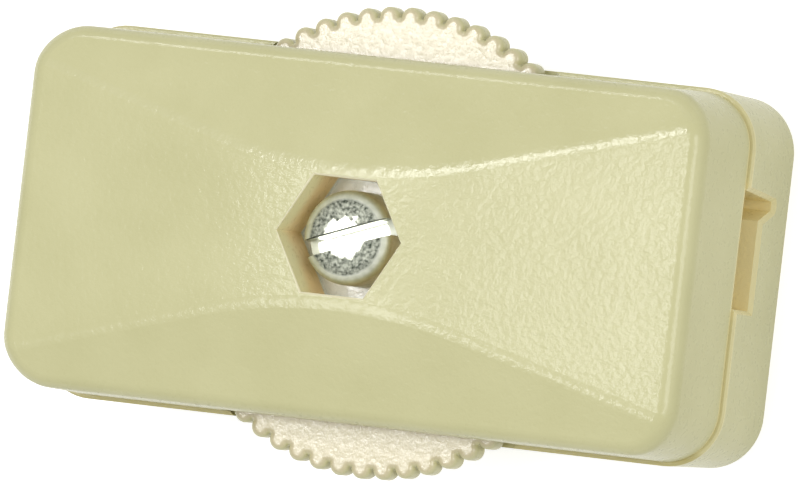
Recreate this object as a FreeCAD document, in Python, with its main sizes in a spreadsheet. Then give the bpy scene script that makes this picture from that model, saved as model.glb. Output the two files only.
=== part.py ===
import FreeCAD, Part
import math
import os
import re
import Sketcher

# Rotary switch for a lamp cord: two moulded half shells, a thumbwheel that turns on the
# cover's axle between them, a bridging contact on the wheel and two piercing contacts.
# X runs along the cord, Y across it and Z up the wheel's axis. The rear face stands on Z = 0.

# Each driving size, in millimetres or degrees, with what it measures
SIZES = [
    ("cover_length", 44.2, "cover along the cord, at the parting plane"),
    ("cover_width", 22.1, "cover across the cord, at the parting plane"),
    ("cover_corner", 3.3, "radius of the cover's upright corners"),
    ("cover_height", 8.6, "parting plane to the crown of the cover"),
    ("base_height", 8.1, "rear face to the parting plane"),
    ("base_lip", 0.25, "how far the base stands out past the cover all round"),
    ("base_edge", 1.3, "bevel of the base's rear edge"),
    ("draft", 1.5, "moulding draft of the outer walls"),
    ("wall", 2.0, "side wall of both shells"),
    ("base_floor", 2.0, "rear wall of the base"),
    ("seam_edge", 0.12, "bevel of both shells at the parting plane"),
    ("crown_half_width", 4.05, "axis to the hip line at the middle of the cover"),
    ("crown_half_length", 8.5, "axis to where the arched crown becomes a flat end facet"),
    ("end_slope", 5.2, "fall of the end facets"),
    ("side_slope", 18.3, "fall of the long facets"),
    ("hip_radius", 2.4, "rounding of the hips between facets"),
    ("edge_radius", 1.1, "rounding of the cover's front edge"),
    ("recess_flats", 7.0, "hexagonal screw recess across its flats"),
    ("recess_depth", 4.1, "crown to the floor of the screw recess"),
    ("recess_rim", 0.12, "bevel round the mouth of the screw recess"),
    ("wheel_radius", 14.15, "axis to the tips of the wheel's teeth"),
    ("wheel_thickness", 1.6, "thickness of the wheel"),
    ("tooth_count", 60, "teeth round the wheel"),
    ("tooth_radius", 0.72, "rounding of one tooth"),
    ("wheel_drop", 0.1, "how far the wheel sinks into the base"),
    ("wheel_gap", 0.15, "running gap above and below the wheel"),
    ("wheel_clearance", 0.35, "gap round the teeth where the wheel passes the walls"),
    ("axle_radius", 3.2, "tubular axle under the cover"),
    ("axle_clearance", 0.08, "running clearance of the wheel on the axle"),
    ("column_radius", 5.0, "shoulder that keeps the wheel down"),
    ("contact_room", 2.6, "room for the contacts above the wheel"),
    ("screw_radius", 1.75, "shank of the assembly screw"),
    ("screw_clearance", 0.1, "gap round the shank"),
    ("screw_end_gap", 0.9, "rear face to the end of the screw"),
    ("screw_point", 0.35, "bevel at the end of the screw"),
    ("head_radius", 2.83, "fillister head of the screw"),
    ("head_side", 2.4, "upright side of the head"),
    ("head_crown", 0.7, "height of the head's crown"),
    ("head_bevel", 1.2, "slope round the head's crown"),
    ("driver_slot_width", 1.05, "screwdriver slot"),
    ("driver_slot_depth", 1.5, "depth of the screwdriver slot"),
    ("driver_slot_angle", 20, "turn of the screwdriver slot from the cord's direction"),
    ("nut_flats", 6.35, "nut across its flats"),
    ("nut_thickness", 2.4, "thickness of the nut"),
    ("nut_recess", 3.0, "rear face to the seat of the nut"),
    ("nut_clearance", 0.1, "gap beside each flat of the nut"),
    ("thread_clearance", 0.04, "gap between screw and nut"),
    ("boss_radius", 4.8, "screw boss of the base"),
    ("cord_width", 7.1, "cord slot across both conductors"),
    ("cord_depth", 2.6, "parting plane to the bed of the cord slot"),
    ("cord_offset", 1.95, "axis to the middle of the cord slot"),
    ("groove_width", 1.7, "groove along one edge of the cord bed, at the bed"),
    ("groove_depth", 1.85, "cord bed to the foot of the groove's sloping sides"),
    ("groove_foot", 0.56, "width of the groove at that foot"),
    ("groove_lean", 0.45, "how far the slot's outer side leans in from the parting plane to that foot"),
    ("groove_radius", 0.4, "round bottom of the groove"),
    ("mouth_edge", 0.25, "bevel round the mouths of the cord slots"),
    ("rib", 1.2, "inner partition walls of the base"),
    ("inner_corner", 1.0, "radius of the upright corners inside both shells"),
    ("grip_width", 0.8, "foot of a cord grip ridge"),
    ("grip_height", 0.3, "height of a cord grip ridge"),
    ("contact_thickness", 0.6, "brass strip of the fixed contacts"),
    ("contact_width", 5.0, "width of a fixed contact's plate"),
    ("contact_clearance", 0.6, "gap from a fixed contact to the wheel and the end wall"),
    ("prong_length", 2.3, "height of the piercing points"),
    ("prong_gap", 0.5, "piercing points to the cord bed"),
    ("finger_width", 2.4, "width of a spring finger"),
    ("finger_radius", 8.8, "axis to where a finger touches"),
    ("finger_tip", 1.4, "length of the turned up tip of a finger"),
    ("tip_rise", 0.6, "rise of the turned up tip"),
    ("contact_gap", 0.1, "finger to the bridging contact"),
    ("bridge_thickness", 0.6, "brass strip of the bridging contact"),
    ("bridge_stand", 0.1, "bridging contact above the wheel's face"),
    ("bridge_hub", 6.0, "radius of the bridging contact's hub"),
    ("bridge_bore", 3.45, "bore of the bridging contact"),
    ("bridge_reach", 10.2, "axis to the end of a wing of the bridging contact"),
    ("bridge_width", 7.2, "width of a wing"),
    ("bridge_fit", 0.05, "gap round the bridging contact in its pocket"),
    ("peg_radius", 0.8, "moulded pegs that hold the contacts"),
    ("peg_fit", 0.05, "gap round a peg"),
    ("peg_stand", 0.4, "peg end past the contact's plate"),
]
NAMES = [name for name, value, meaning in SIZES]

# Levels and places that several pieces share, as formulas of the sizes
CROWN = "(base_height + cover_height)"
SEAT = "(base_height + cover_height - recess_depth)"
WHEEL_SEAT = "(base_height - wheel_drop - wheel_gap)"
WHEEL_BOTTOM = "(base_height - wheel_drop)"
WHEEL_TOP = "(base_height - wheel_drop + wheel_thickness)"
BRIDGE_TOP = "(%s + bridge_stand)" % WHEEL_TOP
BRIDGE_SEAT = "(%s - bridge_thickness)" % BRIDGE_TOP
SHOULDER = "(%s + wheel_gap)" % BRIDGE_TOP
CEILING = "(%s + contact_room)" % WHEEL_TOP
CORD_BED = "(base_height - cord_depth)"
CORD_LOW = "(cord_offset - cord_width / 2)"
CORD_HIGH = "(cord_offset + cord_width / 2)"
CUT_WIRE = "(cord_offset - cord_width / 4)"
LEG_INNER = "(wheel_radius + contact_clearance)"
LEG_OUTER = "(cover_length / 2 - wall - contact_clearance)"
LEG_MIDDLE = "((wheel_radius + cover_length / 2 - wall) / 2)"
CHAMBER = "(wheel_radius + wheel_clearance)"
COVER_INSIDE = ("(cover_length / 2 - wall)", "(cover_width / 2 - wall)")
BASE_OUTSIDE = ("(cover_length / 2 + base_lip)", "(cover_width / 2 + base_lip)")
BASE_INSIDE = ("(cover_length / 2 + base_lip - wall)", "(cover_width / 2 + base_lip - wall)")
PLATE_PEG = "(cord_offset - cord_width / 4 - contact_width / 2)"
BRIDGE_PEG = "((bridge_hub + bridge_reach) / 2)"

doc = FreeCAD.newDocument("inline_cord_switch")
sheet = doc.addObject("Spreadsheet::Sheet", "Sizes")
for row, (name, value, meaning) in enumerate(SIZES, start=1):
    sheet.set("A%d" % row, meaning)
    sheet.set("B%d" % row, str(value))
    sheet.setAlias("B%d" % row, name)
doc.recompute()

# A scratch object that works out a formula, so that a sketch is drawn near its final form
gauge = doc.addObject("App::FeaturePython", "Gauge")
gauge.addProperty("App::PropertyFloat", "reading")


def bound(formula):
    """Point every size name in a formula at its cell in the sheet."""
    def cell(word):
        return "Sizes." + word.group() if word.group() in NAMES else word.group()
    return re.sub(r"[a-z_]+", cell, formula)


def number(formula):
    """What a formula of the sizes comes to now."""
    gauge.setExpression("reading", bound(formula))
    gauge.recompute()
    return gauge.reading


class Drawing:
    """A sketch on one of a body's own planes, with every size bound to the sheet."""

    def __init__(self, body, name, plane="XY_Plane", offset="0"):
        self.sketch = body.newObject("Sketcher::SketchObject", name)
        support = [f for f in body.Origin.OriginFeatures if f.Role == plane]
        self.sketch.AttachmentSupport = [(support[0], "")]
        self.sketch.MapMode = "FlatFace"
        self.sketch.setExpression("AttachmentOffset.Base.z", bound(offset))

    def bind(self, kind, places, formula):
        """Add one dimension and tie it to its formula."""
        index = self.sketch.addConstraint(Sketcher.Constraint(kind, *places, number(formula)))
        self.sketch.setExpression("Constraints[%d]" % index, bound(formula))

    def pin(self, item, end, place):
        """Fix one point of an item by its two coordinates."""
        self.bind("DistanceX", (-1, 1, item, end), place[0])
        self.bind("DistanceY", (-1, 1, item, end), place[1])

    def circle(self, radius, centre=("0", "0")):
        middle = FreeCAD.Vector(number(centre[0]), number(centre[1]), 0)
        up = FreeCAD.Vector(0, 0, 1)
        item = self.sketch.addGeometry(Part.Circle(middle, up, number(radius)), False)
        self.bind("Radius", (item,), radius)
        self.pin(item, 3, centre)
        return self

    def path(self, places):
        """A closed line through places that run anticlockwise.

        A third value is the radius of the arc to the next place, and "hollow" bends it inwards.
        """
        points = [FreeCAD.Vector(number(p[0]), number(p[1]), 0) for p in places]
        items = []
        for index, place in enumerate(places):
            start = points[index]
            end = points[(index + 1) % len(points)]
            ends = (1, 2)
            if len(place) == 2:
                shape = Part.LineSegment(start, end)
            elif place[-1] == "hollow":
                shape = short_arc(end, start, number(place[2]))
                ends = (2, 1)
            else:
                shape = short_arc(start, end, number(place[2]))
            items.append((self.sketch.addGeometry(shape, False),) + ends)
        for index, place in enumerate(places):
            item, start, end = items[index]
            after, after_start, after_end = items[(index + 1) % len(items)]
            meet = Sketcher.Constraint("Coincident", item, end, after, after_start)
            self.sketch.addConstraint(meet)
            self.pin(item, start, place)
            if len(place) > 2:
                self.bind("Radius", (item,), place[2])
        return self

    def rectangle(self, low, high):
        """A rectangle between two opposite corners."""
        return self.path([low, (high[0], low[1]), high, (low[0], high[1])])

    def rounded(self, half_length, half_width, corner):
        """A rectangle about the origin with round corners."""
        along = "(%s - %s)" % (half_length, corner)
        across = "(%s - %s)" % (half_width, corner)
        return self.path([
            (half_length, "-" + across),
            (half_length, across, corner),
            (along, half_width),
            ("-" + along, half_width, corner),
            ("-" + half_length, across),
            ("-" + half_length, "-" + across, corner),
            ("-" + along, "-" + half_width),
            (along, "-" + half_width, corner),
        ])

    def hexagon(self, flats):
        """A hexagon with two flats across Y."""
        corner = "(%s / sqrt(3))" % flats
        half = "(%s / 2)" % flats
        return self.path([
            (corner, "0"),
            (corner + " / 2", half),
            ("-" + corner + " / 2", half),
            ("-" + corner, "0"),
            ("-" + corner + " / 2", "-" + half),
            (corner + " / 2", "-" + half),
        ])


def short_arc(start, end, radius):
    """The shorter anticlockwise arc between two points."""
    chord = end.sub(start)
    rise = math.sqrt(radius ** 2 - (chord.Length / 2) ** 2)
    left = FreeCAD.Vector(-chord.y, chord.x, 0).normalize()
    centre = start.add(end).multiply(0.5).add(left.multiply(rise))
    first = math.atan2(start.y - centre.y, start.x - centre.x)
    last = math.atan2(end.y - centre.y, end.x - centre.x)
    return Part.ArcOfCircle(Part.Circle(centre, FreeCAD.Vector(0, 0, 1), radius), first, last)


def new_body(label):
    body = doc.addObject("PartDesign::Body", label)
    body.Label = label
    return body


def extrude(body, kind, drawing, length, reverse=False, both=False, taper=None):
    """A pad or pocket of a drawing, to one side of its plane or to both."""
    before = body.Shape.Volume if body.Tip else 0.0
    item = body.newObject("PartDesign::" + kind, drawing.sketch.Name + "_" + kind.lower())
    item.Profile = drawing.sketch
    item.setExpression("Length", bound(length))
    item.Reversed = reverse
    if both:
        item.SideType = "Symmetric"
    if taper:
        item.setExpression("TaperAngle", bound(taper))
    doc.recompute()
    grew = body.Shape.Volume > before
    if grew != (kind == "Pad") or body.Shape.Volume == before:
        raise RuntimeError("%s points away from %s" % (item.Label, body.Label))
    return item


def pad(body, drawing, length, **options):
    return extrude(body, "Pad", drawing, length, **options)


def pocket(body, drawing, length, **options):
    return extrude(body, "Pocket", drawing, length, **options)


def revolve(body, kind, drawing):
    """A revolution or groove about the upright axis of its drawing."""
    item = body.newObject("PartDesign::" + kind, drawing.sketch.Name + "_" + kind.lower())
    item.Profile = drawing.sketch
    item.ReferenceAxis = (drawing.sketch, ["V_Axis"])
    item.Angle = 360.0
    doc.recompute()
    return item


def facing(face, point):
    """The outward normal of a face at a point on it."""
    u, v = face.Surface.parameter(point)
    return face.normalAt(u, v)


def edges_where(shape, test):
    """Names of the edges whose middle point and two face normals pass a test."""
    names = []
    for index, edge in enumerate(shape.Edges, start=1):
        faces = shape.ancestorsOfType(edge, Part.Face)
        if len(faces) != 2:
            continue
        first, last = edge.ParameterRange
        middle = edge.valueAt((first + last) / 2)
        if test(middle, facing(faces[0], middle), facing(faces[1], middle)):
            names.append("Edge%d" % index)
    return names


def dress_edges(body, kind, name, size, test):
    """Round or bevel the edges of a body that pass a test."""
    base = body.Tip
    item = body.newObject("PartDesign::" + kind, name)
    item.Base = (base, edges_where(base.Shape, test))
    item.setExpression("Radius" if kind == "Fillet" else "Size", bound(size))
    doc.recompute()
    return item


def upright(normal):
    return abs(normal.z) < 0.2


def is_hip(middle, one, two):
    """Between a long facet and the arched crown or an end facet."""
    leans = abs(one.y) > 0.02
    return one.z > 0.7 and two.z > 0.7 and leans != (abs(two.y) > 0.02)


def is_upper_edge(middle, one, two):
    """Between a front or top face and the walls."""
    return (one.z > 0.7 and upright(two)) or (two.z > 0.7 and upright(one))


def is_lower_edge(middle, one, two):
    """Between an underside and the walls."""
    return (one.z < -0.9 and upright(two)) or (two.z < -0.9 and upright(one))


def is_mouth_edge(middle, one, two):
    """Between the outside of an end wall and the sides or bed of a cord slot."""
    if abs(middle.x) < number("(cover_length - wall) / 2"):
        return False
    flat, steep = sorted((abs(one.x), abs(two.x)))
    return flat < 0.1 and steep > 0.9 and abs(middle.z - number(CORD_BED)) < number("cord_depth") - 0.2


def make_cover():
    """Hip-fronted half shell with the screw recess, the wheel's axle and the contact pegs."""
    body = new_body("cover")
    plan = Drawing(body, "cover_plan", offset="base_height")
    plan.rounded("(cover_length / 2)", "(cover_width / 2)", "cover_corner")
    pad(body, plan, "cover_height + crown_half_width", taper="-draft")

    # End facets fall away from an arched crown
    arch = "(crown_half_length / sin(end_slope))"
    flank = "(%s - %s * (1 - cos(end_slope)))" % (CROWN, arch)
    far = "(cover_length / 2 + wall)"
    low = "(%s - (%s - crown_half_length) * tan(end_slope))" % (flank, far)
    top = "(%s + 2 * crown_half_width)" % CROWN
    ends = Drawing(body, "end_facets", "XZ_Plane")
    ends.path([
        (far, low),
        (far, top),
        ("-" + far, top),
        ("-" + far, low),
        ("-crown_half_length", flank, arch, "hollow"),
        ("crown_half_length", flank),
    ])
    pocket(body, ends, "2 * cover_width", both=True)

    # Long facets fall away from the hip lines to both sides
    reach = "(cover_width / 2 + wall)"
    drop = "(%s - (%s - crown_half_width) * tan(side_slope))" % (CROWN, reach)
    peak = "(%s + crown_half_width * tan(side_slope))" % CROWN
    sides = Drawing(body, "long_facets", "YZ_Plane")
    sides.path([(reach, drop), (reach, top), ("-" + reach, top), ("-" + reach, drop), ("0", peak)])
    pocket(body, sides, "2 * cover_length", both=True)
    dress_edges(body, "Fillet", "hips", "hip_radius", is_hip)
    dress_edges(body, "Fillet", "front_edge", "edge_radius", is_upper_edge)
    dress_edges(body, "Chamfer", "cover_seam", "seam_edge", is_lower_edge)

    # Hexagonal recess for the screw head, with a bevelled mouth
    recess = Drawing(body, "recess", offset=SEAT).hexagon("recess_flats")
    pocket(body, recess, "2 * recess_depth", reverse=True)
    mouth = Drawing(body, "recess_mouth", offset=CROWN)
    mouth.hexagon("(recess_flats + 2 * recess_rim)")
    pocket(body, mouth, "recess_rim", taper="-45")

    # Inside: hollow, way for the wheel through both long walls, column, axle and pegs
    hollow = Drawing(body, "cover_hollow", offset="base_height")
    hollow.rounded(*COVER_INSIDE, "inner_corner")
    pocket(body, hollow, "%s - base_height" % CEILING, reverse=True)
    way = Drawing(body, "wheel_way", offset="base_height").circle(CHAMBER)
    pocket(body, way, "%s + 2 * wheel_gap - base_height" % WHEEL_TOP, reverse=True)
    column = Drawing(body, "column", offset=SHOULDER).circle("column_radius")
    pad(body, column, "%s - %s" % (CEILING, SHOULDER))
    axle = Drawing(body, "axle", offset=WHEEL_SEAT).circle("axle_radius")
    pad(body, axle, "%s - %s" % (SHOULDER, WHEEL_SEAT))
    hole = Drawing(body, "cover_screw_hole", offset=WHEEL_SEAT)
    hole.circle("(screw_radius + screw_clearance)")
    pocket(body, hole, "cover_height", reverse=True)
    pegs = Drawing(body, "plate_pegs", offset="%s - contact_thickness - peg_stand" % CEILING)
    for side in ("", "-"):
        pegs.circle("peg_radius", (side + LEG_MIDDLE, PLATE_PEG))
    pad(body, pegs, "contact_thickness + peg_stand")
    return body


def make_base():
    """Rear half shell with the cord beds, the screw boss and the nut recess."""
    body = new_body("base")
    plan = Drawing(body, "base_plan", offset="base_height")
    plan.rounded(*BASE_OUTSIDE, "(cover_corner + base_lip)")
    pad(body, plan, "base_height", reverse=True, taper="-draft")
    dress_edges(body, "Chamfer", "rear_edge", "base_edge", is_lower_edge)
    dress_edges(body, "Chamfer", "base_seam", "seam_edge", is_upper_edge)

    # Middle chamber, where the conductors part to pass the boss
    chamber = Drawing(body, "chamber", offset="base_height")
    chamber.rounded(CHAMBER, BASE_INSIDE[1], "inner_corner")
    pocket(body, chamber, "base_height - base_floor")

    # Cord bed through both ends, with a tapered groove along one edge
    bed = Drawing(body, "cord_bed", "YZ_Plane")
    foot = "(%s - groove_depth)" % CORD_BED
    outer = "(%s - groove_lean)" % CORD_HIGH
    top = "(base_height + wall)"
    bed.path([
        (CORD_LOW, CORD_BED),
        ("(%s - groove_width)" % CORD_HIGH, CORD_BED),
        ("(%s - groove_foot)" % outer, foot, "groove_radius"),
        (outer, foot),
        (CORD_HIGH, "base_height"),
        (CORD_HIGH, top),
        (CORD_LOW, top),
    ])
    pocket(body, bed, "2 * cover_length", both=True)
    dress_edges(body, "Chamfer", "cord_mouths", "mouth_edge", is_mouth_edge)

    # Hollows beside the beds keep the walls even
    hollows = Drawing(body, "end_hollows", offset="base_height")
    inner = "(%s + rib)" % CHAMBER
    for side in ("", "-"):
        hollows.rectangle((side + inner, "-" + BASE_INSIDE[1]), (side + BASE_INSIDE[0], "(%s - rib)" % CORD_LOW))
        hollows.rectangle((side + inner, "(%s + rib)" % CORD_HIGH), (side + BASE_INSIDE[0], BASE_INSIDE[1]))
    pocket(body, hollows, "base_height - base_floor")

    # Ridges that grip the cord between the piercing points
    grips = Drawing(body, "cord_grips", "XZ_Plane", "groove_width / 2 - cord_offset")
    for side in ("", "-"):
        foot = [(side + "(%s %s grip_width / 2)" % (LEG_MIDDLE, sign), CORD_BED) for sign in "-+"]
        grips.path(foot + [(side + LEG_MIDDLE, "(%s + grip_height)" % CORD_BED)])
    pad(body, grips, "cord_width - groove_width", both=True)

    # Boss under the axle, and a shallow recess for the wheel across it and both long walls
    boss = Drawing(body, "boss").circle("boss_radius")
    pad(body, boss, "base_height")
    recess = Drawing(body, "wheel_recess", offset="base_height").circle(CHAMBER)
    pocket(body, recess, "wheel_drop + wheel_gap")
    nut_seat = Drawing(body, "nut_recess").hexagon("(nut_flats + 2 * nut_clearance)")
    pocket(body, nut_seat, "nut_recess", reverse=True)
    hole = Drawing(body, "base_screw_hole").circle("(screw_radius + screw_clearance)")
    pocket(body, hole, "base_height", reverse=True)
    return body


def make_thumbwheel():
    """Scalloped wheel with a bore for the axle and a pocket for the bridging contact."""
    body = new_body("thumbwheel")
    pitch_radius = "(wheel_radius - tooth_radius)"
    disc = Drawing(body, "wheel_disc", offset=WHEEL_BOTTOM).circle(pitch_radius)
    pad(body, disc, "wheel_thickness")
    tooth = Drawing(body, "tooth", offset=WHEEL_BOTTOM)
    tooth.path([(
        "(tooth_radius * cos(%g))" % turn,
        "(%s + tooth_radius * sin(%g))" % (pitch_radius, turn),
    ) for turn in [22.5 * step for step in range(16)]])
    first = pad(body, tooth, "wheel_thickness")
    teeth = body.newObject("PartDesign::PolarPattern", "teeth")
    teeth.Originals = [first]
    teeth.Axis = ([f for f in body.Origin.OriginFeatures if f.Role == "Z_Axis"][0], [""])
    teeth.Angle = 360.0
    teeth.setExpression("Occurrences", bound("tooth_count"))
    body.Tip = teeth
    doc.recompute()

    bore = Drawing(body, "wheel_bore", offset=WHEEL_BOTTOM).circle("(axle_radius + axle_clearance)")
    pocket(body, bore, "wheel_thickness", reverse=True)
    depth = "bridge_thickness - bridge_stand"
    hub = Drawing(body, "bridge_hub_pocket", offset=BRIDGE_SEAT).circle("(bridge_hub + bridge_fit)")
    pocket(body, hub, depth, reverse=True)
    wings = Drawing(body, "bridge_wing_pocket", offset=BRIDGE_SEAT)
    corner = ("(bridge_reach + bridge_fit)", "(bridge_width / 2 + bridge_fit)")
    wings.rectangle(("-" + corner[0], "-" + corner[1]), corner)
    pocket(body, wings, depth, reverse=True)
    pegs = Drawing(body, "bridge_pegs", offset=BRIDGE_SEAT)
    for side in ("", "-"):
        pegs.circle("peg_radius", (side + BRIDGE_PEG, "0"))
    pad(body, pegs, depth)
    return body


def make_bridging_contact():
    """Brass strip with two wings, held in the wheel's face by pegs."""
    body = new_body("bridging_contact")
    hub = Drawing(body, "bridge_disc", offset=BRIDGE_SEAT).circle("bridge_hub")
    pad(body, hub, "bridge_thickness")
    wings = Drawing(body, "bridge_wings", offset=BRIDGE_SEAT)
    wings.rectangle(("-bridge_reach", "-bridge_width / 2"), ("bridge_reach", "bridge_width / 2"))
    pad(body, wings, "bridge_thickness")
    holes = Drawing(body, "bridge_holes", offset=BRIDGE_SEAT).circle("bridge_bore")
    for side in ("", "-"):
        holes.circle("(peg_radius + peg_fit)", (side + BRIDGE_PEG, "0"))
    pocket(body, holes, "bridge_thickness", reverse=True)
    return body


def make_contact(label, side):
    """Brass stamping: plate under the cover, leg with two piercing points and a spring finger."""
    body = new_body(label)
    plate = Drawing(body, label + "_plate", offset="%s - contact_thickness" % CEILING)
    plate_edge = "(%s + contact_thickness / 2)" % CUT_WIRE
    plate.rectangle((side + LEG_INNER, "(%s - contact_width)" % CUT_WIRE), (side + LEG_OUTER, plate_edge))
    pad(body, plate, "contact_thickness")

    point = "(%s + prong_gap)" % CORD_BED
    root = "(%s + prong_gap + prong_length)" % CORD_BED
    leg = Drawing(body, label + "_leg", "XZ_Plane", "-" + CUT_WIRE)
    leg.path([
        (side + LEG_INNER, CEILING),
        (side + LEG_INNER, root),
        (side + "(%s + %s) / 2" % (LEG_INNER, LEG_MIDDLE), point),
        (side + LEG_MIDDLE, root),
        (side + "(%s + %s) / 2" % (LEG_OUTER, LEG_MIDDLE), point),
        (side + LEG_OUTER, root),
        (side + LEG_OUTER, CEILING),
    ])
    pad(body, leg, "contact_thickness", both=True)

    touch = "(%s + contact_gap)" % BRIDGE_TOP
    tip = side + "(finger_radius - finger_tip)"
    finger = Drawing(body, label + "_finger", "XZ_Plane", "-" + PLATE_PEG)
    finger.path([
        (side + LEG_INNER, CEILING),
        (side + "finger_radius", "(%s + contact_thickness)" % touch),
        (tip, "(%s + tip_rise + contact_thickness)" % touch),
        (tip, "(%s + tip_rise)" % touch),
        (side + "finger_radius", touch),
        (side + LEG_INNER, "(%s - contact_thickness)" % CEILING),
    ])
    pad(body, finger, "finger_width", both=True)

    hole = Drawing(body, label + "_hole", offset=CEILING)
    hole.circle("(peg_radius + peg_fit)", (side + LEG_MIDDLE, PLATE_PEG))
    pocket(body, hole, "contact_thickness")
    return body


def make_assembly_screw():
    """Slotted fillister screw that pulls the two shells together."""
    body = new_body("assembly_screw")
    neck = "(%s + head_side)" % SEAT
    top = "(%s + head_side + head_crown)" % SEAT
    profile = Drawing(body, "screw_profile", "XZ_Plane")
    profile.path([
        ("0", "screw_end_gap"),
        ("(screw_radius - screw_point)", "screw_end_gap"),
        ("screw_radius", "(screw_end_gap + screw_point)"),
        ("screw_radius", SEAT),
        ("head_radius", SEAT),
        ("head_radius", neck),
        ("(head_radius - head_bevel)", top),
        ("0", top),
    ])
    revolve(body, "Revolution", profile)
    slot = Drawing(body, "driver_slot", offset="%s - driver_slot_depth" % top)
    slot.sketch.AttachmentOffset.Rotation = FreeCAD.Rotation(FreeCAD.Vector(0, 0, 1), 1)
    slot.sketch.setExpression("AttachmentOffset.Rotation.Angle", bound("driver_slot_angle"))
    slot.rectangle(("-2 * head_radius", "-driver_slot_width / 2"), ("2 * head_radius", "driver_slot_width / 2"))
    pocket(body, slot, "driver_slot_depth", reverse=True)
    return body


def make_clamp_nut():
    """Hexagonal nut in the rear of the base."""
    body = new_body("clamp_nut")
    face = "(nut_recess - nut_thickness)"
    blank = Drawing(body, "nut_blank", offset=face).hexagon("nut_flats")
    pad(body, blank, "nut_thickness")
    hole = Drawing(body, "nut_hole", offset=face).circle("(screw_radius + thread_clearance)")
    pocket(body, hole, "nut_thickness", reverse=True)
    return body


pieces = [
    make_cover(),
    make_base(),
    make_thumbwheel(),
    make_bridging_contact(),
    make_contact("contact_right", ""),
    make_contact("contact_left", "-"),
    make_assembly_screw(),
    make_clamp_nut(),
]
doc.removeObject(gauge.Name)
doc.recompute()

for item in doc.Objects:
    if "Invalid" in item.State or "Error" in item.State:
        raise RuntimeError("%s failed" % item.Label)
for piece in pieces:
    if piece.Shape.isNull() or not piece.Shape.isValid():
        raise RuntimeError("%s has no valid solid" % piece.Label)

os.makedirs("parts", exist_ok=True)
for piece in pieces:
    piece.Shape.exportStep("parts/%s.step" % piece.Label)
    print(piece.Label, round(piece.Shape.Volume, 2), len(piece.Shape.Solids), len(piece.Shape.Faces))
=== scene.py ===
import math

import bmesh
import bpy
from mathutils import Matrix, Vector


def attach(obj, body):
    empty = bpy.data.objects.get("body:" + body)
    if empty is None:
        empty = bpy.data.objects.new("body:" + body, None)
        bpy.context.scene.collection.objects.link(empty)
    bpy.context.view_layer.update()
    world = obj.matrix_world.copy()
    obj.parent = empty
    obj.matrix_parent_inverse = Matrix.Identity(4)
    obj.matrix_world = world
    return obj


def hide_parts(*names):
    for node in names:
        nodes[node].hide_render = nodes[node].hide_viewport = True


# Rotary lamp-cord switch on a white floor, under seven soft lamps and an even white sky.
# X runs along the cord, Y across it and Z up the wheel's axis.
# The scene is in metres. The part's own sizes are named in millimetres and multiplied by MM.

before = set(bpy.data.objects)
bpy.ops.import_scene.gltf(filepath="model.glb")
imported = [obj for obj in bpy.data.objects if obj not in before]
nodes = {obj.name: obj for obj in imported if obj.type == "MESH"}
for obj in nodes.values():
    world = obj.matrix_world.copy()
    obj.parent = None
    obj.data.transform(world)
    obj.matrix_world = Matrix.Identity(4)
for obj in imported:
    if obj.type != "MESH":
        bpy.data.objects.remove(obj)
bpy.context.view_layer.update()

MM = 0.001

# Camera: turned from straight above towards +X, tipped towards -Y and rolled, in degrees
CAMERA_TURN = 23.155
CAMERA_TIP = -0.50
CAMERA_ROLL = 6.64
CAMERA_DISTANCE = 1.0
SENSOR_WIDTH = 36.0
VIEW_WIDTH = 47.76 * MM
AIM = Vector((0, 0, 8.85 * MM))
AIM_SHIFT = (0.629 * MM, -0.0615 * MM)

# Lamps at one distance from the part: direction, width in metres and power in watts
LAMP_DISTANCE = 0.6
LAMPS = {
    "key": ((-0.1, 0.0, 0.995), 0.1, 0.36),         # mottles the facet of the right end
    "glint": ((-0.393, 0.06, 0.917), 0.09, 0.34),   # whitens the wheel's face and the screw
    "upper": ((-0.28, 0.26, 0.925), 0.11, 0.42),    # runs along the upper hips
    "lower": ((-0.35, -0.29, 0.89), 0.11, 0.41),    # runs along the lower hips
    "edge": ((-0.393, 0.7, 0.6), 0.08, 0.12),       # runs along the upper long edge
    "right": ((0.67, 0.05, 0.74), 0.25, 0.87),      # brightens the right edge
    "end": ((0.95, 0.0, 0.31), 0.25, 0.2),          # lights the end walls
}
SKY_LEVEL = 0.43

# Floor: its reach and height in metres, how much light it sends back and how much it glows.
# It lies just under the base, so that the two don't share a plane.
FLOOR_REACH = 3.0
FLOOR_HEIGHT = -0.02 * MM
FLOOR_SHADE = 0.8
FLOOR_GLOW = 0.6

# Places on the shells that take painted light and shade or more polish, in millimetres
RECESS_RADIUS, RECESS_FLOOR, RECESS_MOUTH = 4.5, 12.8, 15.4
CORD_MIDDLE, CORD_REACH, CORD_TOP = 1.95, 3.9, 8.0
SEAM, SEAM_HALF = 8.1, 0.2
LOWER_SIDE = -10.6
ENDS_START, ENDS_FULL = 17, 30

# Where the plastic's relief is weakest and where it is full, in millimetres along X
RELIEF_WEAK, RELIEF_FULL = -15, 5
RELIEF_LEAST = 0.65

# Places on the screw's head where the plating changes or painted shade darkens its slot, in millimetres
WORN_INNER, WORN_OUTER, WORN_HEIGHT = 1.3, 2.2, 15.2
SLOT_SHADE_REACH, SLOT_SHADE_HEIGHT = 2.6, 15.15
BAND_INNER = 2.4

# Thumbwheel, in millimetres; the turn of its teeth is in degrees
WHEEL_LOW, WHEEL_HIGH = 8.0, 9.6
WHEEL_RADIUS = 14.15
TOOTH_COUNT = 60
TOOTH_RADIUS = 0.64
TOOTH_ROUND = 0.38
TOOTH_TURN = 0.3
FACE_MARGIN = 0.04
BORE = 3.28
POCKET_FLOOR = 9.1
POCKET_HUB, POCKET_REACH, POCKET_HALF = 6.05, 10.25, 3.65
PEG_RADIUS, PEG_PLACE = 0.8, 8.1

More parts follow.
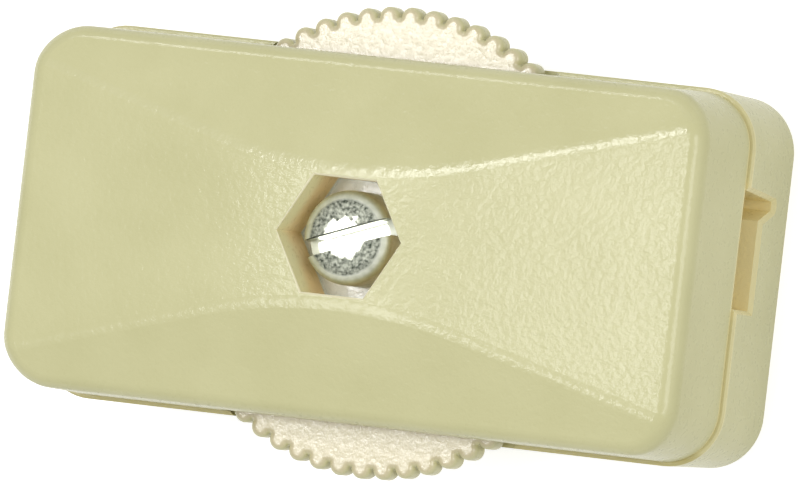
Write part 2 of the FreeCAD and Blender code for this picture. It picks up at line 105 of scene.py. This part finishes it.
# Screw and nut, in millimetres; angles are in degrees
HEAD_SEAT, HEAD_SIDE, HEAD_TOP = 12.6, 15.0, 15.7
HEAD_RADIUS = 2.83
HEAD_ROUND, HEAD_ROUND_ANGLE = 0.5, 68
SEAT_BEVEL = 0.12
SLOT_HALF, SLOT_FLOOR, SLOT_TURN = 0.525, 14.2, 20
CUTTER_LENGTH, CUTTER_HEIGHT = 8, 4
SHANK_RADIUS, SHANK_END, SHANK_POINT = 1.75, 0.9, 0.35
THREAD_PITCH, THREAD_DEPTH, THREAD_TOP = 0.794, 0.4, 6.2
NUT_FLATS, NUT_LOW, NUT_HIGH = 6.35, 0.6, 3.0
NUT_BORE, NUT_SINK = 1.79, 0.2
NUT_FACE_SHARE, NUT_BEVEL = 0.97, 30

# Vertices closer than this are merged, in millimetres, and flatter edges than this are smooth
MERGE_DISTANCE = 0.0002
SMOOTH_ANGLE = 35


def srgb(red, green, blue):
    """A colour given in display values from 0 to 255, as the linear values that sockets take."""
    def linear(value):
        value /= 255
        return value / 12.92 if value <= 0.04045 else ((value + 0.055) / 1.055) ** 2.4
    return (linear(red), linear(green), linear(blue), 1.0)


# Colours of painted light and shade on the plastic, each for the place named above it
# painted highlight: the recess floor is coloured pale, besides being glossier
PAINTED_FLOOR_HIGHLIGHT = (0.95, 0.98, 0.92, 1)
# painted highlight: the bevel round the recess mouth is coloured light
PAINTED_RIM_HIGHLIGHT = srgb(240, 234, 200)
# painted light: the open parts of the recess walls are coloured lighter
PAINTED_WALL_LIGHT = (0.93, 0.88, 0.52, 1)
# painted warm glow in shade: the deep parts of the recess walls are coloured bright orange
PAINTED_WARM_GLOW = (1.0, 0.78, 0.42, 1)
# painted warm glow in the shaded cord slots and in the joint of the shells near the ends
PAINTED_JOINT_GLOW = (0.97, 0.84, 0.44, 1)
# painted shade on the ledge of the joint along the lower side
PAINTED_LEDGE_SHADE = srgb(198, 188, 130)


class Finish:
    """A material built from textures in the part's own coordinates."""

    def __init__(self, name):
        self.material = bpy.data.materials.new(name)
        self.material.use_nodes = True
        self.tree = self.material.node_tree
        self.shader = self.tree.nodes["Principled BSDF"]
        self.place = self.add("ShaderNodeTexCoord").outputs["Object"]
        self.at = self.split(self.place)
        self.facing = self.split(self.add("ShaderNodeNewGeometry").outputs["Normal"])

    def add(self, kind, **inputs):
        """A node with some of its inputs set to a value or linked to an output."""
        node = self.tree.nodes.new(kind)
        for name, value in inputs.items():
            self.feed(node.inputs[name.replace("_", " ")], value)
        return node

    def feed(self, socket, value):
        """Link an output to a socket, or set the socket to a plain value."""
        if isinstance(value, bpy.types.NodeSocket):
            self.tree.links.new(value, socket)
        else:
            socket.default_value = value

    def set(self, **inputs):
        """Values or links for the shader's own sockets."""
        for name, value in inputs.items():
            self.feed(self.shader.inputs[name.replace("_", " ")], value)

    def base_colour(self):
        """What the shader's colour is linked to so far."""
        return self.shader.inputs["Base Color"].links[0].from_socket

    def math(self, operation, *values):
        """The result of a sum on outputs and plain values."""
        node = self.add("ShaderNodeMath")
        node.operation = operation
        for socket, value in zip(node.inputs, values):
            self.feed(socket, value)
        return node.outputs[0]

    def split(self, vector):
        """The X, Y and Z of a vector."""
        return self.add("ShaderNodeSeparateXYZ", Vector=vector).outputs

    def from_axis(self):
        """Distance from the wheel's axis."""
        flat = self.add("ShaderNodeVectorMath", Vector=self.place)
        flat.operation = "MULTIPLY"
        flat.inputs[1].default_value = (1, 1, 0)
        length = self.add("ShaderNodeVectorMath", Vector=flat.outputs[0])
        length.operation = "LENGTH"
        return length.outputs["Value"]

    def noise(self, grain, detail=2.0):
        """Cloudy noise whose patches are about one grain across."""
        node = self.add("ShaderNodeTexNoise", Vector=self.place, Scale=1 / grain, Detail=detail)
        return node.outputs["Fac"]

    def span(self, value, start, stop, low=0.0, high=1.0):
        """Low up to the start of a range and high from its end, which may also be the lower value."""
        node = self.add("ShaderNodeMapRange", Value=value, From_Min=start, From_Max=stop,
                        To_Min=low, To_Max=high)
        return node.outputs["Result"]

    def above(self, value, limit, soft):
        """1 from a limit upwards, fading to 0 below it."""
        return self.span(value, limit - soft, limit)

    def below(self, value, limit, soft):
        """1 up to a limit, fading to 0 above it."""
        return self.span(value, limit + soft, limit)

    def spread(self, value, low, high):
        """The middle of a noise's range, spread from low to high."""
        return self.span(value, 0.3, 0.7, low, high)

    def all_of(self, *shares):
        """1 where every share is 1, and 0 where any is 0."""
        result = shares[0]
        for share in shares[1:]:
            result = self.math("MULTIPLY", result, share)
        return result

    def any_of(self, *shares):
        """The largest of several shares."""
        result = shares[0]
        for share in shares[1:]:
            result = self.math("MAXIMUM", result, share)
        return result

    def shade(self, reach, start, stop):
        """How closely other walls stand round a place, as a share of a range."""
        return self.span(self.add("ShaderNodeAmbientOcclusion", Distance=reach).outputs["AO"], start, stop)

    def tint(self, value, *colours):
        """Colours at even steps over the middle of a noise's range."""
        node = self.add("ShaderNodeValToRGB", Fac=self.spread(value, 0, 1))
        ramp = node.color_ramp
        while len(ramp.elements) < len(colours):
            ramp.elements.new(0.5)
        for index, colour in enumerate(colours):
            ramp.elements[index].position = index / (len(colours) - 1)
            ramp.elements[index].color = colour
        return node.outputs["Color"]

    def blend(self, share, first, second):
        """A colour between two others."""
        node = self.add("ShaderNodeMix")
        node.data_type = "RGBA"
        for index, value in ((0, share), (6, first), (7, second)):
            self.feed(node.inputs[index], value)
        return node.outputs[2]

    def soft_edges(self, radius):
        """Normals that round every edge off by a small radius."""
        node = self.add("ShaderNodeBevel", Radius=radius)
        node.samples = 6
        return node.outputs["Normal"]

    def bump(self, *layers, strength=1.0, normal=None):
        """Surface relief from pairs of a texture and its height."""
        for height, rise in layers:
            node = self.add("ShaderNodeBump", Height=height, Distance=rise, Strength=strength)
            if normal:
                self.feed(node.inputs["Normal"], normal)
            normal = node.outputs["Normal"]
        self.set(Normal=normal)
        return normal


def ivory(name, dark, light, rough, sheen, peel_height, grain_height):
    """Moulded ivory plastic: faint clouds, an uneven satin face and smooth upright walls."""
    finish = Finish(name)
    peel = finish.noise(0.4 * MM)
    grain = finish.noise(0.15 * MM)
    finish.set(Base_Color=finish.tint(finish.noise(5 * MM, 3.0), dark, light))
    finish.set(Roughness=finish.spread(peel, rough - 0.05, rough + 0.05))
    finish.set(IOR=1.52, Coat_Roughness=sheen, Coat_IOR=1.5)
    face = finish.span(finish.facing["Z"], 0.2, 0.9)
    coarse = finish.span(finish.at["X"], RELIEF_WEAK * MM, RELIEF_FULL * MM, RELIEF_LEAST, 1.0)
    normal = finish.bump((peel, peel_height), (grain, grain_height), strength=finish.all_of(face, coarse))
    finish.set(Coat_Normal=normal)
    return finish


def wheel_ivory():
    """The wheel's plastic, polished on its flat faces and duller between its teeth."""
    finish = ivory("wheel_ivory", srgb(204, 200, 156), srgb(212, 208, 166), rough=0.28, sheen=0.14,
                   peel_height=0.018 * MM, grain_height=0.006 * MM)
    face = finish.span(finish.facing["Z"], 0.5, 0.95)
    blush = finish.tint(finish.noise(0.5 * MM), srgb(206, 195, 156), srgb(214, 203, 168))
    finish.set(Base_Color=finish.blend(face, finish.base_colour(), blush))
    finish.set(Coat_Weight=finish.math("MULTIPLY", face, 0.4))
    finish.set(Specular_IOR_Level=finish.span(face, 0, 1, 0.1, 1.0))
    return finish.material


def recess_shares(finish):
    """Shares of the screw recess: its floor, its walls and the bevel round its mouth."""
    height, up = finish.at["Z"], finish.facing["Z"]
    recess = finish.below(finish.from_axis(), RECESS_RADIUS * MM, 0.5 * MM)
    floor = finish.all_of(recess, finish.below(height, RECESS_FLOOR * MM, 0.2 * MM))
    wall = finish.all_of(recess, finish.below(up, 0.4, 0.4))
    rim = finish.all_of(recess, finish.above(height, RECESS_MOUTH * MM, 0.2 * MM),
                        finish.above(up, 0.5, 0.2), finish.below(up, 0.85, 0.1))
    return floor, wall, rim


def joint_shares(finish):
    """Shares of the cord slots and of the joint of the shells, under one side and towards the ends."""
    height = finish.at["Z"]
    across = finish.math("ABSOLUTE", finish.math("SUBTRACT", finish.at["Y"], CORD_MIDDLE * MM))
    slot = finish.all_of(finish.below(across, CORD_REACH * MM, 0.4 * MM),
                         finish.below(height, CORD_TOP * MM, 0.2 * MM),
                         finish.below(finish.math("ABSOLUTE", finish.facing["X"]), 0.5, 0.4))
    from_seam = finish.math("ABSOLUTE", finish.math("SUBTRACT", height, SEAM * MM))
    seam = finish.below(from_seam, SEAM_HALF * MM, 0.15 * MM)
    under = finish.all_of(seam, finish.below(finish.at["Y"], LOWER_SIDE * MM, 0.4 * MM))
    along = finish.math("ABSOLUTE", finish.at["X"])
    ends = finish.all_of(seam, finish.span(along, ENDS_START * MM, ENDS_FULL * MM))
    return slot, under, ends


def polish_shares(finish):
    """Shares of the polished places, by the way they face: the upper hips and the upper edge."""
    side, up = finish.facing["Y"], finish.facing["Z"]
    hip = finish.all_of(finish.above(side, 0.08, 0.05), finish.below(side, 0.22, 0.07),
                        finish.above(up, 0.96, 0.03))
    edge = finish.all_of(finish.above(side, 0.37, 0.04), finish.below(side, 0.5, 0.1),
                         finish.above(up, 0.83, 0.08))
    return hip, edge


def shell_ivory():
    """The shells' plastic, with painted light and shade inside the screw recess, the cord slots and the
    joint of the shells.
    """
    finish = ivory("shell_ivory", srgb(202, 199, 151), srgb(208, 205, 158), rough=0.3, sheen=0.16,
                   peel_height=0.026 * MM, grain_height=0.007 * MM)
    floor, wall, rim = recess_shares(finish)
    slot, under, ends = joint_shares(finish)
    hip, edge = polish_shares(finish)
    # painted light on the recess walls, turning to painted warm glow where other walls stand close round
    inside = finish.blend(finish.shade(reach=6 * MM, start=0.42, stop=0.14), PAINTED_WALL_LIGHT, PAINTED_WARM_GLOW)
    colour = finish.blend(wall, finish.base_colour(), inside)
    # painted glow in the slots and joint ends, painted shade on the lower ledge, painted highlights on the
    # recess floor and rim
    for share, tone in ((ends, PAINTED_JOINT_GLOW), (under, PAINTED_LEDGE_SHADE), (slot, PAINTED_JOINT_GLOW), (floor, PAINTED_FLOOR_HIGHLIGHT), (rim, PAINTED_RIM_HIGHLIGHT)):
        colour = finish.blend(share, colour, tone)
    finish.set(Base_Color=colour)
    satin = finish.span(finish.facing["Z"], 0.4, 0.85, 0.0, 0.5)
    finish.set(Coat_Weight=finish.any_of(floor, hip, edge, satin))
    finish.set(Specular_IOR_Level=finish.span(floor, 0, 1, 0.12, 1.0))
    return finish.material


def metal(name, dark, light, rough, pits):
    """Bright metal with a rolled grain, small pits and a dull bloom."""
    finish = Finish(name)
    bloom = finish.noise(0.8 * MM, 4.0)
    grain = finish.noise(0.2 * MM, 3.0)
    finish.set(Metallic=1.0, Base_Color=finish.tint(bloom, dark, light))
    finish.set(Roughness=finish.spread(grain, rough - 0.1, rough + 0.12))
    finish.bump((grain, pits), normal=finish.soft_edges(0.08 * MM))
    return finish.material


def worn_plate(name):
    """Bright plating, worn to a dark rough grain in a ring round the middle of the screw's head; painted
    shade darkens the upper walls of its slot.
    """
    finish = Finish(name)
    bloom = finish.noise(0.5 * MM, 3.0)
    grain = finish.noise(0.2 * MM, 3.0)
    radius, height = finish.from_axis(), finish.at["Z"]
    ragged = finish.math("ADD", radius, finish.spread(bloom, -0.25 * MM, 0.25 * MM))
    worn = finish.all_of(finish.above(ragged, WORN_INNER * MM, 0.15 * MM),
                         finish.below(radius, WORN_OUTER * MM, 0.15 * MM),
                         finish.above(height, WORN_HEIGHT * MM, 0.2 * MM))
    # painted shade: the upper walls of the slot, which also get rougher
    slot_shade = finish.all_of(finish.below(finish.facing["Z"], 0.2, 0.3),
                         finish.below(radius, SLOT_SHADE_REACH * MM, 0.1 * MM),
                         finish.above(height, SLOT_SHADE_HEIGHT * MM, 0.15 * MM))
    band = finish.above(radius, BAND_INNER * MM, 0.15 * MM)
    bright = finish.tint(bloom, srgb(200, 203, 186), srgb(222, 224, 210))
    specks = finish.tint(grain, srgb(192, 195, 180), srgb(66, 72, 62))
    # the dark colour on the slot's upper walls is painted shade
    colour = finish.blend(slot_shade, finish.blend(worn, bright, specks), srgb(70, 78, 68))
    finish.set(Metallic=1.0, Base_Color=colour)
    finish.set(Roughness=finish.span(finish.any_of(worn, slot_shade, band), 0, 1, 0.2, 0.55))
    finish.bump((grain, 0.012 * MM), strength=worn, normal=finish.soft_edges(0.04 * MM))
    return finish.material


def dress(node, material):
    """Give every material slot of a CAD node the same finish."""
    mesh = nodes[node].data
    mesh.materials.clear()
    mesh.materials.append(material)


def turn(place, angle):
    """A flat point turned about the wheel's axis."""
    cosine, sine = math.cos(angle), math.sin(angle)
    return (place[0] * cosine - place[1] * sine, place[0] * sine + place[1] * cosine)


def around(radius, count, centre=(0, 0)):
    """Flat points round a circle."""
    angles = [2 * math.pi * step / count for step in range(count)]
    return [(centre[0] + radius * math.cos(a), centre[1] + radius * math.sin(a)) for a in angles]


def ring(bm, places, height):
    """A closed loop of vertices at one height, in millimetres."""
    return [bm.verts.new((x * MM, y * MM, height * MM)) for x, y in places]


def skin(bm, rings):
    """Quads between each ring and the next."""
    for low, high in zip(rings, rings[1:]):
        for index in range(len(low)):
            after = (index + 1) % len(low)
            bm.faces.new((low[index], low[after], high[after], high[index]))


def fill(bm, *rings):
    """A flat face between an outer ring and the rings inside it."""
    edges = []
    for loop in rings:
        for index, vert in enumerate(loop):
            pair = (vert, loop[(index + 1) % len(loop)])
            edges.append(bm.edges.get(pair) or bm.edges.new(pair))
    bmesh.ops.triangle_fill(bm, edges=edges)


def to_object(bm, name):
    """Turn a mesh in the making into an object of the scene."""
    mesh = bpy.data.meshes.new(name)
    bm.to_mesh(mesh)
    bm.free()
    item = bpy.data.objects.new(name, mesh)
    bpy.context.scene.collection.objects.link(item)
    return item


def piece(bm, name, node, body, material):
    """Turn a mesh in the making into a piece that stands for a CAD node."""
    bmesh.ops.remove_doubles(bm, verts=bm.verts, dist=MERGE_DISTANCE * MM)
    bmesh.ops.recalc_face_normals(bm, faces=bm.faces)
    item = to_object(bm, name)
    item.data.shade_smooth()
    item.data.set_sharp_from_angle(angle=math.radians(SMOOTH_ANGLE))
    item.data.materials.append(material)
    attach(item, body)
    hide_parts(node)
    return item


def tooth_rim():
    """Points round the scalloped rim, each with the direction that faces outwards there."""
    pitch = WHEEL_RADIUS - TOOTH_RADIUS
    step = 2 * math.pi / TOOTH_COUNT
    quarter = math.pi / 2
    tooth = []
    for part in range(13):
        facing = quarter * (part / 6 - 1)
        tooth.append(((pitch + TOOTH_RADIUS * math.cos(facing), TOOTH_RADIUS * math.sin(facing)), facing))
    near = (pitch, TOOTH_RADIUS)
    far = turn((pitch, -TOOTH_RADIUS), step)
    tooth += [(near, quarter + (step / 2 - quarter) * part / 4) for part in range(1, 5)]
    tooth += [(far, step / 2 + (step / 2 - quarter) * part / 4) for part in range(4)]
    rim = []
    for number in range(TOOTH_COUNT):
        angle = step * number + math.radians(TOOTH_TURN)
        for place, facing in tooth:
            rim.append((turn(place, angle), turn((math.cos(facing), math.sin(facing)), angle)))
    return rim


def rim_loops(bm):
    """Loops of vertices up the rim, from the flat face below over the rounded teeth to the one above."""
    rim = tooth_rim()
    rings = [(TOOTH_ROUND + FACE_MARGIN, 0)]
    for step in range(7):
        angle = math.pi / 2 * step / 6
        rings.append((TOOTH_ROUND * (1 - math.sin(angle)), TOOTH_ROUND * (1 - math.cos(angle))))
    levels = [(inset, WHEEL_LOW + rise) for inset, rise in rings]
    levels += [(inset, WHEEL_HIGH - rise) for inset, rise in reversed(rings)]
    loops = []
    for inset, height in levels:
        places = [(p[0] - inset * n[0], p[1] - inset * n[1]) for p, n in rim]
        loops.append(ring(bm, places, height))
    return loops


def pocket_outline():
    """Points round the pocket of the bridging contact: a hub with a wing to each side."""
    cross = math.asin(POCKET_HALF / POCKET_HUB)
    arc = [cross + (math.pi - 2 * cross) * step / 24 for step in range(25)]
    upper = [(POCKET_HUB * math.cos(a), POCKET_HUB * math.sin(a)) for a in arc]
    half = [(POCKET_REACH, POCKET_HALF)] + upper + [(-POCKET_REACH, POCKET_HALF)]
    return half + [(-x, -y) for x, y in half]


def make_wheel(material):
    """Thumbwheel with domed tooth ends, its bore and the pocket and pegs of the bridging contact."""
    bm = bmesh.new()
    loops = rim_loops(bm)
    skin(bm, loops)
    outline = pocket_outline()
    mouth = ring(bm, outline, WHEEL_HIGH)
    floor = ring(bm, outline, POCKET_FLOOR)
    bore = around(BORE, 64)
    bore_high = ring(bm, bore, POCKET_FLOOR)
    bore_low = ring(bm, bore, WHEEL_LOW)
    feet = []
    for side in (1, -1):
        peg = around(PEG_RADIUS, 24, (side * PEG_PLACE, 0))
        feet.append(ring(bm, peg, POCKET_FLOOR))
        top = ring(bm, peg, WHEEL_HIGH)
        skin(bm, [feet[-1], top])
        bm.faces.new(top)
    skin(bm, [mouth, floor])
    skin(bm, [bore_high, bore_low])
    fill(bm, loops[-1], mouth)
    fill(bm, floor, bore_high, *feet)
    fill(bm, loops[0], bore_low)
    return piece(bm, "moulded_wheel", "thumbwheel", "wheel", material)


def head_profile():
    """Radius and height along the screw's head, from its seat over its round edge to its dome."""
    profile = [(HEAD_RADIUS - SEAT_BEVEL, HEAD_SEAT), (HEAD_RADIUS, HEAD_SEAT + SEAT_BEVEL),
               (HEAD_RADIUS, HEAD_SIDE)]
    for step in range(1, 7):
        angle = math.radians(HEAD_ROUND_ANGLE) * step / 6
        radius = HEAD_RADIUS - HEAD_ROUND * (1 - math.cos(angle))
        profile.append((radius, HEAD_SIDE + HEAD_ROUND * math.sin(angle)))
    edge, drop = profile[-1][0], HEAD_TOP - profile[-1][1]
    for step in range(1, 10):
        out = 1 - step / 10
        profile.append((edge * out, HEAD_TOP - drop * out ** 4))
    return profile


def thread_rings(bm, count):
    """Rings up the shank, with a rolled thread that fades at both ends."""
    levels = math.ceil((THREAD_TOP - SHANK_END) / THREAD_PITCH * 8)
    rings = []
    for level in range(levels + 1):
        height = SHANK_END + (THREAD_TOP - SHANK_END) * level / levels
        fade = min(1, level / 5, (levels - level) / 8)
        point = SHANK_POINT * max(0, 1 - level / 4)
        places = []
        for x, y in around(1, count):
            phase = (height / THREAD_PITCH - math.atan2(y, x) / (2 * math.pi)) % 1
            groove = THREAD_DEPTH * abs(2 * phase - 1)
            radius = SHANK_RADIUS - groove * fade - point
            places.append((x * radius, y * radius))
        rings.append(ring(bm, places, height))
    return rings


def make_screw(material):
    """Fillister screw with a domed head, a driver slot and a rolled thread."""
    count = 72
    bm = bmesh.new()
    rings = thread_rings(bm, count)
    bm.faces.new(reversed(rings[0]))
    rings.append(ring(bm, around(SHANK_RADIUS, count), HEAD_SEAT))
    rings += [ring(bm, around(radius, count), height) for radius, height in head_profile()]
    skin(bm, rings)
    bm.faces.new(rings[-1])
    bmesh.ops.recalc_face_normals(bm, faces=bm.faces)
    blank = to_object(bm, "screw_blank")

    bm = bmesh.new()
    bmesh.ops.create_cube(bm, size=1.0)
    size = Matrix.Diagonal((CUTTER_LENGTH * MM, 2 * SLOT_HALF * MM, CUTTER_HEIGHT * MM, 1))
    spin = Matrix.Rotation(math.radians(SLOT_TURN), 4, "Z")
    lift = Matrix.Translation((0, 0, (SLOT_FLOOR + CUTTER_HEIGHT / 2) * MM))
    bmesh.ops.transform(bm, matrix=lift @ spin @ size, verts=bm.verts)
    cutter = to_object(bm, "slot_cutter")

    cut = blank.modifiers.new("slot", "BOOLEAN")
    cut.operation = "DIFFERENCE"
    cut.object = cutter
    shape = bpy.data.meshes.new_from_object(blank.evaluated_get(bpy.context.evaluated_depsgraph_get()))
    for item in (blank, cutter):
        bpy.data.objects.remove(item)
    bm = bmesh.new()
    bm.from_mesh(shape)
    return piece(bm, "turned_screw", "assembly_screw", "housing", material)


def make_nut(material):
    """Hexagonal nut with bevelled corners and a countersunk bore."""
    count = 96
    bm = bmesh.new()
    flat = NUT_FLATS / 2
    inner = flat * NUT_FACE_SHARE
    hexagon = []
    for step in range(count):
        angle = 2 * math.pi * step / count
        from_flat = (angle + math.pi / 6) % (math.pi / 3) - math.pi / 6
        hexagon.append((angle + math.pi / 6, flat / math.cos(from_flat)))
    outer = [(radius * math.cos(a), radius * math.sin(a)) for a, radius in hexagon]
    drop = [(radius - inner) * math.tan(math.radians(NUT_BEVEL)) for a, radius in hexagon]

    def at_radius(radius):
        """Points at one radius, in step with the corners outside."""
        return [(x / r * radius, y / r * radius) for (x, y), (a, r) in zip(outer, hexagon)]

    def face_rings(level, way):
        """Rings from the bevelled outside to the countersunk bore of the upper or lower face."""
        crown = [bm.verts.new((x * MM, y * MM, (level - way * d) * MM)) for (x, y), d in zip(outer, drop)]
        return [crown, ring(bm, at_radius(inner), level), ring(bm, at_radius(NUT_BORE + NUT_SINK), level),
                ring(bm, at_radius(NUT_BORE), level - way * NUT_SINK)]

    high = face_rings(NUT_HIGH, 1)
    low = face_rings(NUT_LOW, -1)
    skin(bm, high + list(reversed(low)) + [high[0]])
    return piece(bm, "hexagonal_nut", "clamp_nut", "housing", material)


def add_floor():
    """A white floor that takes the part's shadow but is never darker than paper to the camera."""
    mesh = bpy.data.meshes.new("floor")
    square = ((-1, -1), (1, -1), (1, 1), (-1, 1))
    corners = [(x * FLOOR_REACH, y * FLOOR_REACH, FLOOR_HEIGHT) for x, y in square]
    mesh.from_pydata(corners, [], [(0, 1, 2, 3)])
    floor = bpy.data.objects.new("floor", mesh)
    bpy.context.scene.collection.objects.link(floor)
    material = bpy.data.materials.new("floor_white")
    material.use_nodes = True
    tree = material.node_tree
    tree.nodes.clear()
    paper = tree.nodes.new("ShaderNodeBsdfDiffuse")
    paper.inputs["Color"].default_value = (FLOOR_SHADE, FLOOR_SHADE, FLOOR_SHADE, 1)
    glow = tree.nodes.new("ShaderNodeEmission")
    rays = tree.nodes.new("ShaderNodeLightPath")
    seen, seen_too, share = (tree.nodes.new("ShaderNodeMath") for _ in range(3))
    seen.operation = "MAXIMUM"
    seen_too.operation = "MAXIMUM"
    share.operation = "MULTIPLY"
    share.inputs[1].default_value = FLOOR_GLOW
    both = tree.nodes.new("ShaderNodeAddShader")
    out = tree.nodes.new("ShaderNodeOutputMaterial")
    link = tree.links.new
    link(rays.outputs["Is Camera Ray"], seen.inputs[0])
    link(rays.outputs["Is Glossy Ray"], seen.inputs[1])
    link(seen.outputs[0], seen_too.inputs[0])
    link(rays.outputs["Is Transmission Ray"], seen_too.inputs[1])
    link(seen_too.outputs[0], share.inputs[0])
    link(share.outputs[0], glow.inputs["Strength"])
    link(paper.outputs[0], both.inputs[0])
    link(glow.outputs[0], both.inputs[1])
    link(both.outputs[0], out.inputs["Surface"])
    mesh.materials.append(material)


def add_lamp(name, direction, size, power):
    """A square soft lamp that looks at the middle of the part."""
    lamp = bpy.data.lights.new(name, "AREA")
    lamp.shape = "SQUARE"
    lamp.size = size
    lamp.energy = power
    towards = Vector(direction).normalized()
    item = bpy.data.objects.new(name, lamp)
    item.location = AIM + towards * LAMP_DISTANCE
    item.rotation_euler = towards.to_track_quat("Z", "Y").to_euler()
    bpy.context.scene.collection.objects.link(item)


def add_world():
    """Even white light from all round, seen as white by the camera."""
    world = bpy.data.worlds.new("studio")
    world.use_nodes = True
    tree = world.node_tree
    background = tree.nodes["Background"]
    background.inputs["Color"].default_value = (1, 1, 1, 1)
    rays = tree.nodes.new("ShaderNodeLightPath")
    strength = tree.nodes.new("ShaderNodeMapRange")
    strength.inputs["To Min"].default_value = SKY_LEVEL
    strength.inputs["To Max"].default_value = 1.0
    tree.links.new(rays.outputs["Is Camera Ray"], strength.inputs["Value"])
    tree.links.new(strength.outputs[0], background.inputs["Strength"])
    bpy.context.scene.world = world


def add_camera():
    """A camera that looks down at the part, with the part where the photograph has it."""
    swing, tip, roll = (math.radians(angle) for angle in (CAMERA_TURN, CAMERA_TIP, CAMERA_ROLL))
    back = Vector((math.sin(swing) * math.cos(tip), math.sin(tip), math.cos(swing) * math.cos(tip)))
    level = Vector((math.cos(swing), 0, -math.sin(swing)))
    upward = back.cross(level)
    right = level * math.cos(roll) + upward * math.sin(roll)
    up = upward * math.cos(roll) - level * math.sin(roll)
    lens = bpy.data.cameras.new("camera")
    lens.sensor_width = SENSOR_WIDTH
    lens.lens = SENSOR_WIDTH * CAMERA_DISTANCE / VIEW_WIDTH
    lens.clip_end = 10.0
    camera = bpy.data.objects.new("camera", lens)
    place = AIM + right * AIM_SHIFT[0] + up * AIM_SHIFT[1] + back * CAMERA_DISTANCE
    camera.matrix_world = Matrix.Translation(place) @ Matrix((right, up, back)).transposed().to_4x4()
    bpy.context.scene.collection.objects.link(camera)
    bpy.context.scene.camera = camera


shell = shell_ivory()
wheel = wheel_ivory()
brass = metal("contact_brass", srgb(196, 152, 78), srgb(226, 186, 108), rough=0.3, pits=0.01 * MM)
steel = worn_plate("plated_steel")
for material, names in ((shell, ("cover", "base")), (wheel, ("thumbwheel",)),
                        (brass, ("bridging_contact", "contact_right", "contact_left")),
                        (steel, ("assembly_screw", "clamp_nut"))):
    for name in names:
        dress(name, material)
make_wheel(wheel)
make_screw(steel)
make_nut(steel)

add_floor()
add_world()
for name, (direction, size, power) in LAMPS.items():
    add_lamp(name, direction, size, power)
add_camera()
bpy.context.scene.view_settings.view_transform = "Standard"
